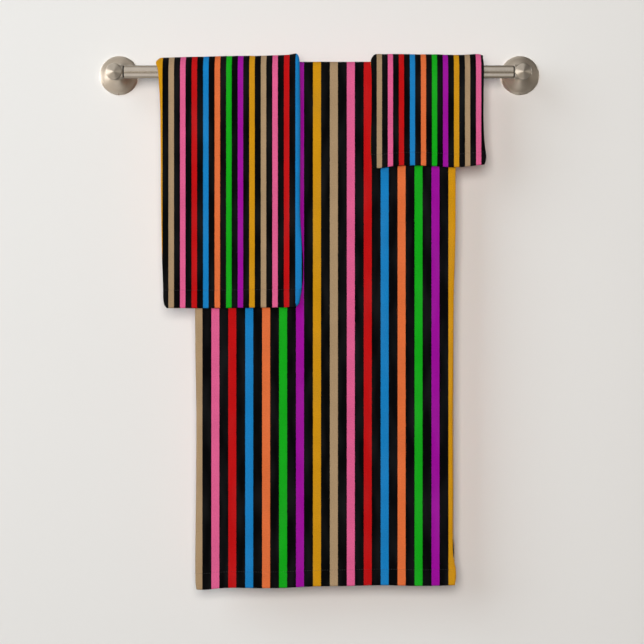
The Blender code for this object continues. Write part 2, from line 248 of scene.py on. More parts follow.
class Finish:
    """A material, or the world, being put together."""

    def __init__(self, name, library="materials"):
        self.made = getattr(bpy.data, library).new(name)
        self.made.use_nodes = True
        self.tree = self.made.node_tree
        self.tree.nodes.clear()

    def node(self, kind, settings=None, inputs=None, output=0):
        """Adds a node: its settings first, then the values or links of its sockets."""
        made = self.tree.nodes.new(kind)
        for name, value in (settings or {}).items():
            if name == "stops":
                ramp = made.color_ramp.elements
                while len(ramp) < len(value):
                    ramp.new(1.0)
                for stop, (place, shade) in zip(ramp, value):
                    stop.position = place
                    stop.color = (*shade, 1.0)
            elif name == "ramp_interpolation":
                made.color_ramp.interpolation = value
            else:
                setattr(made, name, value)
        for name, value in (inputs or {}).items():
            socket = made.inputs[name]
            if isinstance(value, Signal):
                self.tree.links.new(value.socket, socket)
            elif socket.type == "RGBA":
                socket.default_value = (*value[:3], 1.0)
            else:
                socket.default_value = value
        return Signal(self, made.outputs[output]) if len(made.outputs) else None

    def mix(self, factor, one, two):
        """A colour between one and two."""
        return self.node("ShaderNodeMix", {"data_type": "RGBA"},
                         {0: factor, 6: one, 7: two}, output=2)

    def place(self, output=3):
        """Place on the piece in its own space, or another output of that node."""
        return self.node("ShaderNodeTexCoord", output=output)

    def parts(self, vector):
        """X, Y and Z of a vector."""
        return [self.node("ShaderNodeSeparateXYZ", None, {0: vector}, output=i)
                for i in range(3)]

    def vector(self, x, y, z=0.0):
        return self.node("ShaderNodeCombineXYZ", None, {0: x, 1: y, 2: z})

    def size_of(self, value):
        """A value without its sign."""
        return self.node("ShaderNodeMath", {"operation": "ABSOLUTE"}, {0: value})

    def grain(self, place, scale, detail=2.0, rough=0.5):
        """Smooth random value from 0 to 1."""
        return self.node("ShaderNodeTexNoise", {"noise_dimensions": "3D"},
                         {"Vector": place, "Scale": scale, "Detail": detail, "Roughness": rough})

    def step(self, value, low, high):
        """Smooth change from 0 to 1 while a value goes from low to high."""
        return self.node("ShaderNodeMapRange", {"interpolation_type": "SMOOTHSTEP"},
                         {"Value": value, "From Min": low, "From Max": high,
                          "To Min": 0.0, "To Max": 1.0})

    def relief(self, height, depth, strength=1.0):
        return self.node("ShaderNodeBump", None,
                         {"Height": height, "Distance": depth, "Strength": strength})

    def surface(self, one_sided=False, **sockets):
        """Ends the material in a Principled shader, clear from behind if it is one-sided."""
        inputs = {name.replace("_", " "): value for name, value in sockets.items()}
        shader = self.node("ShaderNodeBsdfPrincipled", None, inputs)
        if one_sided:
            clear = self.node("ShaderNodeBsdfTransparent")
            behind = self.node("ShaderNodeNewGeometry", output=6)
            shader = self.node("ShaderNodeMixShader", None, {0: behind, 1: shader, 2: clear})
        self.node("ShaderNodeOutputMaterial", None, {"Surface": shader})
        return self.made


def cloth_place(finish):
    """Place on a flat cloth, and the distances across and along it, in metres."""
    flat = finish.node("ShaderNodeUVMap", {"uv_map": "cloth"})
    across, along, _ = finish.parts(flat)
    return flat, across, along


def printed_terry(name, sizes, dyes, thread=False):
    """Short sheared pile printed with the stripes, or thread lying on it in the same print."""
    bleed = 1.1 * MM        # width over which the dye's edge wanders from loop to loop
    finish = Finish(name)
    flat, across, along = cloth_place(finish)
    fuzz = (finish.grain(flat, 900.0) - 0.5) * bleed
    count = len(DYES)
    repeat = (across + fuzz - sizes.tan_at) / (count * sizes.pitch) + 0.5 / count
    ground = linear(dyes.ground)
    stops = [(0.0, ground)]
    for i, dye in enumerate(DYES):
        middle, half = (i + 0.5) / count, sizes.coloured / (2 * count)
        stops += [(middle - half, linear(getattr(dyes, dye))), (middle + half, ground)]
    stripes = finish.node("ShaderNodeValToRGB",
                          {"stops": stops, "ramp_interpolation": "CONSTANT"}, {0: repeat % 1.0})
    loops = finish.grain(flat, 620.0, detail=3.0, rough=0.6)
    patches = finish.grain(flat, 22.0)
    if thread:
        plies_per_metre = 2600.0
        twist = (across + along) * plies_per_metre % 1.0
        shade = finish.mix(0.25 + 0.3 * twist, stripes, BLACK)
        return finish.surface(Base_Color=shade, Roughness=0.6,
                              Normal=finish.relief(twist, 0.1 * MM))
    # painted sheen: pale grey streaks running down the pile, lighter patches on the black that
    # stand in for light glancing off the cloth
    sheen_streaks = finish.grain(finish.vector(across, along * 0.22), 60.0, detail=1.0)
    painted_sheen = 0.014 * (sheen_streaks * 2.6 - 1.05) * (0.4 + 0.6 * loops)
    sheened_print = finish.mix(painted_sheen, stripes, SHEEN_GREY)
    shade = finish.mix(0.55 * (loops - 0.3) + 0.25 * (patches - 0.5), sheened_print, BLACK)
    pile = loops + 1.5 * patches
    return finish.surface(
        Base_Color=shade, Roughness=0.92 + 0.06 * loops, Specular_IOR_Level=0.03,
        Sheen_Weight=0.004, Sheen_Roughness=0.5,
        Normal=finish.relief(pile, 0.35 * MM, strength=0.8))


def looped_terry(name, dyes):
    """The unprinted side: rows of small standing loops."""
    finish = Finish(name)
    flat, across, along = cloth_place(finish)
    cell = finish.node("ShaderNodeTexVoronoi", {"feature": "F1"}, {"Vector": flat, "Scale": 520.0})
    rows = finish.node("ShaderNodeTexWave", {"bands_direction": "X", "wave_profile": "SIN"},
                       {"Vector": flat, "Scale": 150.0, "Distortion": 2.5, "Detail": 1.0})
    loops = (1.0 - cell * 1.3) * 0.7 + rows * 0.3
    patches = finish.grain(flat, 30.0)
    white = linear(dyes.reverse)
    # painted shade: darker in the hollows between the loops, with random patches of tone
    shade = finish.mix(0.45 * (1.0 - loops) + 0.10 * patches, white, dimmed(white, 0.55))
    return finish.surface(Base_Color=shade, Roughness=0.95, Specular_IOR_Level=0.2,
                          Sheen_Weight=0.15, Sheen_Roughness=0.5,
                          Normal=finish.relief(loops, 0.7 * MM))


def brushed_nickel(name, metal, roughness, brushing, painted_brightening=1.0):
    """Plated metal turned and brushed round its own axis."""
    line_travel = 0.02 * MM     # a brushed line's change per radian: it runs nearly all round
    finish = Finish(name)
    place = finish.place()
    x, y, z = finish.parts(place)
    radius = (x * x + y * y) ** 0.5
    turn = finish.node("ShaderNodeMath", {"operation": "ARCTAN2"}, {0: y, 1: x})
    lines = finish.grain(finish.vector(radius, z, turn * line_travel), 5200.0,
                         detail=3.0, rough=0.7)
    cloud = finish.grain(place, 45.0, detail=3.0)
    # painted light: a share above one gives a lighter copy of the same plating
    plating = dimmed(linear(metal.nickel), painted_brightening)
    shade = finish.mix(0.5 * lines * cloud + 0.1 * cloud, plating, dimmed(plating, 0.62))
    return finish.surface(
        Base_Color=shade, Metallic=1.0,
        Roughness=roughness - 0.04 + 0.04 * lines + 0.06 * cloud,
        Anisotropic=brushing, Anisotropic_Rotation=0.25,
        Normal=finish.relief(lines, 0.004 * MM, strength=0.5))


def plated_steel(name, tone, roughness, blotch):
    """Sheet or screw steel with a mottled plating."""
    finish = Finish(name)
    place = finish.place()
    mottle = finish.grain(place, blotch, detail=4.0, rough=0.6)
    crystal = finish.node("ShaderNodeTexVoronoi", {"feature": "F1"},
                          {"Vector": place, "Scale": blotch * 3.0}, output=1)
    flake = finish.node("ShaderNodeSeparateColor", None, {0: crystal})
    metal = linear(tone)
    shade = finish.mix(0.35 * mottle + 0.25 * flake, metal, dimmed(metal, 0.5))
    return finish.surface(Base_Color=shade, Metallic=1.0,
                          Roughness=roughness + 0.15 * mottle,
                          Normal=finish.relief(mottle, 0.05 * MM, strength=0.5))


# ---- Shapes ----

SHARP_METAL = 35.0          # angles in degrees above which an edge is shaded sharp
SHARP_CLOTH = 80.0
SAME_PLACE = 1e-6           # points closer than this are one point
FACING_ROOM = (math.pi / 2, 0.0, 0.0)     # turns a piece's Z away from the wall


def along_bar(sign):
    """Turns a piece's Z towards the middle of the bar from the post on that side."""
    return (0.0, -sign * math.pi / 2, 0.0)


def shaded(mesh, sharp):
    mesh.shade_smooth()
    mesh.set_sharp_from_angle(angle=math.radians(sharp))


def into_scene(name, mesh, finishes, location=(0, 0, 0), turn=(0, 0, 0), sharp=SHARP_METAL):
    made = bpy.data.objects.new(name, mesh)
    made.location = location
    made.rotation_euler = Euler(turn)
    for finish in finishes:
        mesh.materials.append(finish)
    shaded(mesh, sharp)
    bpy.context.scene.collection.objects.link(made)
    return made


def arc(centre, half_width, half_height, start, end, steps):
    """Points of an elliptical arc as (radius, height)."""
    made = []
    for i in range(steps + 1):
        angle = math.radians(start + (end - start) * i / steps)
        made.append((centre[0] + half_width * math.cos(angle),
                     centre[1] + half_height * math.sin(angle)))
    return made


def closed_up(bm, mesh):
    """Ends a shape with its faces pointing out."""
    bmesh.ops.recalc_face_normals(bm, faces=bm.faces)
    bm.to_mesh(mesh)
    bm.free()
    return mesh


def spun(name, profile, closed, steps):
    """A mesh turned from (radius, height) points about its own Z."""
    around = [(math.cos(math.tau * i / steps), math.sin(math.tau * i / steps))
              for i in range(steps)]
    bm = bmesh.new()
    rings = []
    for radius, height in profile:
        ring = [bm.verts.new((radius * x, radius * y, height))
                for x, y in (around if radius > 0 else around[:1])]
        rings.append([ring[i % len(ring)] for i in range(steps + 1)])
    for one, two in zip(rings, rings[1:] + rings[:1] if closed else rings[1:]):
        for i in range(steps):
            bm.faces.new(dict.fromkeys((one[i], one[i + 1], two[i + 1], two[i])))
    return closed_up(bm, bpy.data.meshes.new(name))


def turned(name, profile, closed, finishes, location, turn, steps=128):
    """A piece turned on a lathe."""
    return into_scene(name, spun(name, profile, closed, steps), finishes, location, turn)


def bore(made, radius, low, high, middle, turn, steps=48):
    """Drills a round hole through a piece."""
    rod = [(0, low), (radius, low), (radius, high), (0, high)]
    drill = turned("drill", rod, False, [], middle, turn, steps)
    cut = made.modifiers.new("bore", "BOOLEAN")
    cut.operation = "DIFFERENCE"
    cut.solver = "EXACT"
    cut.object = drill
    bpy.context.view_layer.update()
    fixed = bpy.data.meshes.new_from_object(
        made.evaluated_get(bpy.context.evaluated_depsgraph_get()))
    made.modifiers.clear()
    made.data = fixed
    bm = bmesh.new()
    bm.from_mesh(fixed)
    bmesh.ops.dissolve_degenerate(bm, edges=bm.edges, dist=SAME_PLACE)
    bmesh.ops.triangulate(bm, faces=[face for face in bm.faces if len(face.verts) > 4])
    closed_up(bm, fixed)
    shaded(fixed, SHARP_METAL)
    bpy.data.objects.remove(drill)


# ---- Cloth ----


def flowing(points, at):
    """Smooth curve through (place, value) points, evaluated at an array of places."""
    points = sorted(points)
    px = np.array([p[0] for p in points], float)
    py = np.array([p[1] for p in points], float)
    slope = np.gradient(py, px)
    at = np.clip(at, px[0], px[-1])
    i = np.clip(np.searchsorted(px, at, side="right") - 1, 0, len(px) - 2)
    step = px[i + 1] - px[i]
    t = (at - px[i]) / step
    return ((2 * t ** 3 - 3 * t ** 2 + 1) * py[i] + (t ** 3 - 2 * t ** 2 + t) * step * slope[i]
            + (3 * t ** 2 - 2 * t ** 3) * py[i + 1] + (t ** 3 - t ** 2) * step * slope[i + 1])


def ease(t):
    t = np.clip(t, 0.0, 1.0)
    return t * t * (3 - 2 * t)


def lumps(x, y, size, seed):
    """Unevenness of hand-sized cloth from -1 to 1, the same every time."""
    flat = np.stack([np.ravel(x) / size, np.ravel(y) / size], axis=1)
    made = [noise.noise(Vector((a, b, seed))) for a, b in flat]
    return np.array(made).reshape(np.shape(x))


class Cloth:
    """One towel: a cloth folded in half lengthwise and hung over the rail.

    A row runs across the folded cloth: outer leaf from its open edge, round the fold, inner leaf
    to its open edge.  Rows follow each other from the front hem up, over the bar and down
    the back.
    """

    EDGE_STEPS = (0.0, 0.5 * MM, 1.2 * MM, 2.2 * MM, 3.6 * MM, 5.6 * MM)
    SEAM_STEPS = tuple(MM * s for s in (-4, -2.6, -1.7, -1.0, -0.45, 0, 0.45, 1.0, 1.7, 2.6, 4))
    SEAM_ROOM = 5.0 * MM        # plain rows stop this far below the seam
    FIRST_ROW = 9.0 * MM
    ROW_STEP = 5.0 * MM
    COLUMN_STEP = 4.2 * MM
    FOLD_STEPS = 16
    ARC_STEPS = 40

    TUCK = 1.6 * MM             # the inner leaf's open edge stands back from the outer one's
    INNER_SHORT = 3.0 * MM      # and its hem hangs this much higher
    SWELL_REACH = 14.0 * MM     # width over which the fold's swell dies out
    HEM_SWELL = 0.9 * MM        # extra thickness of both leaves at a turned hem
    HEM_LEAF = 0.45 * MM        # extra thickness of one leaf there
    HEM_STEP = (0.3 * MM, 1.2 * MM)
    SEAM_WIDTH = 0.9 * MM
    SEAM_SINK = 0.5 * MM        # how far the stitching pulls the face in
    SEAM_SQUEEZE = 0.6 * MM     # and how much it squeezes a leaf
    PINCH = (0.62, 2.4 * MM)    # a leaf's thickness at its edges, and the width of the thinning
    LUMP, LUMP_SIZE = 0.16 * MM, 11.0 * MM
    FOLD_PRINT = 0.4            # print taken up by the fold, as a share of its size per radian
    RIM_ROUND = 0.28            # how far the rim stands off, as a share of a leaf

    STITCH = 2.7 * MM
    STITCH_GAP = 0.9 * MM
    STITCH_MARGIN = 2.0 * MM
    THREAD = 0.42 * MM
    THREAD_BOW = 0.55 * MM
    THREAD_SUNK = 0.12 * MM
    THREAD_SUNK_INSIDE = 0.50 * MM      # tighter where one towel slides on another
    THREAD_SIDES, THREAD_RINGS = 6, 5

    def __init__(self, name, sizes, shape):
        self.name = name
        self.sizes = sizes
        self.shape = shape
        self.box = towel_box(name)
        self.rows()
        self.columns()
        self.place()

    # Rows ----

    def drop_steps(self, drop):
        """Distances from the hem's edge up to the level of the bar's axis."""
        seam = self.shape.SEAM
        steps = list(self.EDGE_STEPS)
        steps += list(np.arange(self.FIRST_ROW, seam - self.SEAM_ROOM, self.ROW_STEP))
        steps += [seam + s for s in self.SEAM_STEPS]
        return self.filled(steps, drop, self.ROW_STEP)

    @staticmethod
    def filled(steps, end, size):
        """Even steps of about one size after the given ones, up to the end."""
        rest = end - steps[-1]
        count = int(rest / size)
        return steps + [steps[-1] + rest * (i + 1) / count for i in range(count)]

    def rows(self):
        """For each row: side (1 front, -1 back), distance from that side's hem edge, and angle."""
        front = self.drop_steps(self.box["front"])
        back = self.drop_steps(self.box["back"])
        turn = [math.pi * (i + 1) / self.ARC_STEPS for i in range(self.ARC_STEPS - 1)]
        self.side = np.repeat([1.0, 0.0, -1.0], [len(front), len(turn), len(back)])
        self.edge = np.array(front + [np.inf] * len(turn) + back[::-1])
        self.angle = np.array([0.0] * len(front) + turn + [math.pi] * len(back))
        seam = self.shape.SEAM
        self.seam_rows = (front.index(seam), len(self.side) - 1 - back.index(seam))
        radius = self.box["inner"] + self.box["thickness"] / 2
        over = self.box["front"] + radius * math.pi
        self.along = np.array(front + [self.box["front"] + radius * a for a in turn]
                              + [over + self.box["back"] - s for s in back[::-1]])

    # Columns ----

    def columns(self):
        """For each column: leaf (1 outer, 0 fold, -1 inner), share of the leaf and fold angle."""
        width = self.box["right"] - self.box["left"] - self.sizes.fold_roll
        steps = self.filled(list(self.EDGE_STEPS), width, self.COLUMN_STEP)
        share = [s / width for s in steps]
        turn = [math.pi / 2 - math.pi * (i + 1) / self.FOLD_STEPS
                for i in range(self.FOLD_STEPS - 1)]
        self.leaf = np.repeat([1.0, 0.0, -1.0], [len(share), len(turn), len(share)])
        self.share = np.array(share + [1.0] * len(turn) + share[::-1])
        self.turn = np.array([math.pi / 2] * len(share) + turn + [-math.pi / 2] * len(share))
        self.inset = np.array(steps + [np.inf] * len(turn) + steps[::-1])

    # Where each point goes ----

    def place(self):
        """Works out both faces of the cloth and where its print falls."""
        box, sizes, shape = self.box, self.sizes, self.shape
        reach = box["inner"] + box["thickness"]
        side, angle, edge = (a[:, None] for a in (self.side, self.angle, self.edge))
        leaf, share, turn, inset = (
            a[None, :] for a in (self.leaf, self.share, self.turn, self.inset))
        over_bar, in_back, at_fold, inner_leaf = side == 0, side < 0, leaf == 0, leaf < 0
        sine, cosine = np.sin(turn), np.cos(turn)

        drop = np.where(in_back, box["back"], box["front"])
        climb = np.where(over_bar, reach * np.minimum(angle, math.pi - angle),
                         np.where(np.isinf(edge), 0.0, edge - drop))
        quiet = np.where(in_back | (angle > math.pi / 2), 0.5, 1.0)     # straighter at the back
        outline_climb = np.where(in_back, climb * box["front"] / box["back"], climb)
        left, right = self.outline(outline_climb, quiet)
        fold, open_edge, way = (left, right, -1.0) if shape.FOLD_LEFT else (right, left, 1.0)

        roll = sizes.fold_roll
        start = fold - way * roll
        tuck = np.where(inner_leaf, self.TUCK * way, 0.0)
        across = open_edge + tuck * (1 - share) + (start - open_edge) * share
        x = np.where(at_fold, start + way * roll * cosine, across)
        x_inside = np.where(at_fold, start + way * (roll - sizes.leaf) * cosine, across)

        proud = sizes.fold_swell * (1 - ease((np.abs(fold - x) - roll) / self.SWELL_REACH))
        hem = 1 - ease((edge - shape.SEAM - self.HEM_STEP[0]) / self.HEM_STEP[1])
        hem = np.where(over_bar, 0.0, hem)
        middle = (box["thickness"] + proud + self.HEM_SWELL * hem) / 2
        groove = np.exp(-((edge - shape.SEAM) / self.SEAM_WIDTH) ** 2)
        groove = np.where(over_bar, 0.0, groove)
        thin, thinning = self.PINCH
        pinch = thin + (1 - thin) * ease(np.minimum(inset, edge) / thinning)
        body = (sizes.leaf + self.HEM_LEAF * hem - self.SEAM_SQUEEZE * groove) * pinch
        face = middle + middle * sine - np.where(leaf > 0, self.SEAM_SINK * groove, 0.0)
        slack = (sizes.leaf - body) / 2 * (pinch < 1)
        face = face - np.sign(sine) * slack * (leaf != 0)
        reverse = np.where(at_fold, middle + (middle - body) * sine, face - np.sign(sine) * body)
        rough = self.LUMP * lumps(x + 0 * face, self.along[:, None] + 0 * face, self.LUMP_SIZE,
                                  10 * box["left"])
        face = face + rough * sine
        reverse = reverse + 0.5 * rough * sine

        raised = (box["front"] + flowing(shape.HEM, x)) * np.where(in_back, 0.6, 1.0)
        fade = np.where(np.isinf(edge), 0, np.clip(1 - edge / drop, 0, 1))
        lift = (raised + np.where(inner_leaf, self.INNER_SHORT, 0.0)) * fade
        rise = (flowing(shape.CROWN, x) - reach) / box["thickness"]
        wave = self.waves(x, climb, side)
        self.face = self.points(x, face, rise, climb, lift, wave)
        self.reverse = self.points(x_inside, reverse, rise, climb, lift, wave)

        round_fold = way * self.FOLD_PRINT * (roll + middle)
        printed = np.where(at_fold, start + round_fold * (np.pi / 2 - turn),
                           np.clip(x, box["left"], box["right"]))
        beyond_fold = start + round_fold * np.pi + (start - across)
        self.print_at = np.where(inner_leaf, beyond_fold, printed)

    def outline(self, climb, quiet):
        """Left and right edges of the folded cloth at heights above the bar's axis."""
        return [straight + (flowing(edge, climb) - straight) * quiet
                for edge, straight in ((self.shape.LEFT, self.box["left"]),
                                       (self.shape.RIGHT, self.box["right"]))]

    def waves(self, x, climb, side):
        """Soft waves that grow down a drop, standing away from the wall in front."""
        wide, narrow = 128 * MM, 71 * MM
        flat_above, growth = 0.06, 0.55 * self.box["front"]
        down = ease((-climb - flat_above) / growth)
        if self.box["inner"] < 1.2 * BAR_RADIUS:      # on the bar, under the other towels
            flat_above, growth = 0.30, 0.42
            down = ease((-climb - flat_above) / growth) + 0.12 * down
        phase = np.where(side < 0, 1.9, 0.0) + 40 * self.box["left"]
        swing = (0.6 * np.sin(math.tau * x / wide + phase)
                 + 0.4 * np.sin(math.tau * x / narrow - 1.7 * phase + 3.0 * climb))
        return self.sizes.wave * down * (0.5 + 0.5 * swing)

    def points(self, x, depth, rise, climb, lift, wave):
        """Points at a depth outside the cloth's inner face, over the bar and down both drops."""
        side, angle = self.side[:, None], self.angle[:, None]
        flat = self.box["inner"] + depth
        tall = flat + rise * np.clip(depth, 0, None)
        y = BAR_AXIS.y - flat * np.cos(angle) - np.where(side == 0, 0, side) * wave
        z = BAR_AXIS.z + np.where(side == 0, tall * np.sin(angle), climb + lift)
        return np.stack([x + 0 * z, y + 0 * z, z + 0 * y], axis=-1)

    # Mesh ----

    def rim(self):
        """Indices round the cloth's border and the direction that points off the cloth at each."""
        rows, columns = self.face.shape[:2]
        loop = [(0, j) for j in range(columns)]
        loop += [(i, columns - 1) for i in range(1, rows)]
        loop += [(rows - 1, j) for j in range(columns - 2, -1, -1)]
        loop += [(i, 0) for i in range(rows - 2, 0, -1)]
        outward = []
        for i, j in loop:
            inside = (min(max(i, 1), rows - 2), min(max(j, 1), columns - 2))
            off = self.face[i, j] - self.face[inside]
            outward.append(off / np.linalg.norm(off))
        return loop, np.array(outward)

    def mesh(self):
        """The printed face, the plain reverse and the rim that joins them."""
        rows, columns = self.face.shape[:2]
        count = rows * columns
        loop, outward = self.rim()
        flat_loop = np.array([i * columns + j for i, j in loop])
        face, reverse = self.face.reshape(-1, 3), self.reverse.reshape(-1, 3)
        border = (face[flat_loop] + reverse[flat_loop]) / 2
        border += outward * self.sizes.leaf * self.RIM_ROUND
        verts = np.concatenate([face, reverse, border])
        index = np.arange(count).reshape(rows, columns)
        quads = np.stack([index[:-1, :-1], index[1:, :-1], index[1:, 1:], index[:-1, 1:]], -1)
        quads = quads.reshape(-1, 4)
        inside = quads[:, ::-1] + count
        after = np.roll(np.arange(len(loop)), -1)
        rim_index = 2 * count + np.arange(len(loop))
        outer_rim = np.stack([flat_loop, flat_loop[after], rim_index[after], rim_index], -1)
        inner_rim = np.stack([rim_index, rim_index[after], count + flat_loop[after],
                              count + flat_loop], -1)
        faces = np.concatenate([quads, inside, outer_rim, inner_rim])
        mesh = bpy.data.meshes.new(self.name)
        mesh.from_pydata(verts.tolist(), [], faces.tolist())
        plain = np.zeros(len(faces), np.int32)
        plain[len(quads):2 * len(quads)] = 1
        mesh.polygons.foreach_set("material_index", plain)
        flat = np.stack([self.print_at, self.along[:, None] + 0 * self.print_at], -1)
        flat = flat.reshape(-1, 2)
        flat = np.concatenate([flat, flat, flat[flat_loop]])
        corners = np.array([v for f in faces for v in f])
        mesh.uv_layers.new(name="cloth").data.foreach_set("uv", flat[corners].ravel())
        bm = bmesh.new()
        bm.from_mesh(mesh)
        return closed_up(bm, mesh)

    def stitches(self, row, name):
        """Lockstitches along one hem: short bowed threads that dive into the cloth."""
        line = self.face[row]
        up = self.face[row + 1] - self.face[row - 1]
        steps = np.linalg.norm(np.diff(line, axis=0), axis=1)
        travelled = np.concatenate([[0], np.cumsum(steps)])
        tangent = np.gradient(line, axis=0)
        normal = np.cross(up, tangent)
        normal /= np.linalg.norm(normal, axis=1)[:, None]
        away = line - self.reverse[row]
        normal *= np.sign((normal * away).sum(1))[:, None]
        sunk = np.where(self.leaf < 0, self.THREAD_SUNK_INSIDE, self.THREAD_SUNK)
        sides, rings = self.THREAD_SIDES, self.THREAD_RINGS
        bm = bmesh.new()
        uv = []
        at = self.STITCH_MARGIN
        while at + self.STITCH < travelled[-1] - self.STITCH_MARGIN:
            loops = []
            for t in (k / (rings - 1) for k in range(rings)):
                s = at + self.STITCH * t
                point, out, way = (np.array([np.interp(s, travelled, a[:, c]) for c in range(3)])
                                   for a in (line, normal, tangent))
                way /= np.linalg.norm(way)
                third = np.cross(way, out)
                bow = math.sin(math.pi * t)
                sink = float(np.interp(s, travelled, sunk))
                centre = point + out * (self.THREAD_BOW * bow - sink)
                thin = self.THREAD * (0.55 + 0.45 * bow)
                across = float(np.interp(s, travelled, self.print_at[row]))
                ring = []
                for m in range(sides):
                    a = math.tau * m / sides
                    round_thread = math.cos(a) * out + math.sin(a) * third
                    ring.append(bm.verts.new(centre + thin * round_thread))
                    uv.append((across, self.along[row] + 0.1 * MM * m))
                loops.append(ring)
            for one, two in zip(loops, loops[1:]):
                for m in range(sides):
                    n = (m + 1) % sides
                    bm.faces.new((one[m], one[n], two[n], two[m]))
            bm.faces.new(loops[0])
            bm.faces.new(loops[-1])
            at += self.STITCH + self.STITCH_GAP
        bm.verts.index_update()
        layer = bm.loops.layers.uv.new("cloth")
        for f in bm.faces:
            for corner in f.loops:
                corner[layer].uv = uv[corner.vert.index]
        return closed_up(bm, bpy.data.meshes.new(name))


def hang(name, sizes, dyes, shape, slot):
    """Makes one towel and its hem stitches and ties them to the frame."""
    cloth = Cloth(name, sizes, shape)
    printed = printed_terry(f"{slot}_print", sizes, dyes)
    loops = looped_terry(f"{slot}_loops", dyes)
    thread = printed_terry(f"{slot}_thread", sizes, dyes, thread=True)
    towel = into_scene(f"{name}_cloth", cloth.mesh(), [printed, loops], sharp=SHARP_CLOTH)
    front, back = (into_scene(f"{name}_{side}_stitches",
                              cloth.stitches(row, f"{name}_{side}_stitches"), [thread])
                   for side, row in zip(("front", "back"), cloth.seam_rows))
    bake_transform(towel)
    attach(front, f"{name}_front_drop")
    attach(back, name)
    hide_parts(f"{name}_saddle", f"{name}_back", f"{name}_back_hem", f"{name}_front",
                f"{name}_front_hem")


# ---- Operators ----


